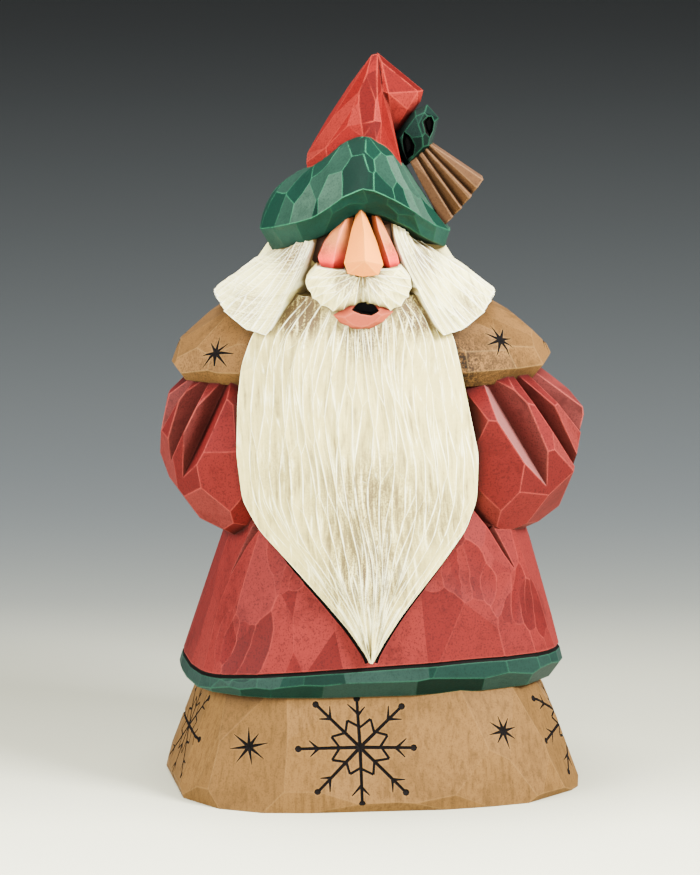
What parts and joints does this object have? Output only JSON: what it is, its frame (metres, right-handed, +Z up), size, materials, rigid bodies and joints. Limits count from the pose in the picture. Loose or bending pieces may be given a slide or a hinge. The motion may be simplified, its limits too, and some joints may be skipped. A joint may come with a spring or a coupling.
{
  "type": "carved santa figure",
  "caption": "Flat-plane folk carving of a bearded Santa in hat, cape, pleated-sleeve coat and under-robe, arms folded behind the back; stands on its flat underside.",
  "frame": {"origin": "on the flat underside, below the middle of the robe", "axes": "+Z up, the figure faces -Y, +X to the viewer's right"},
  "size_m": [0.1039, 0.082, 0.18],
  "materials": {
    "painted_wood": "hand-carved basswood under thin matt paint washes, with woodburned lines"
  },
  "bodies": {
    "root": {"santa_figure": "painted_wood"}
  },
  "joints": []
}
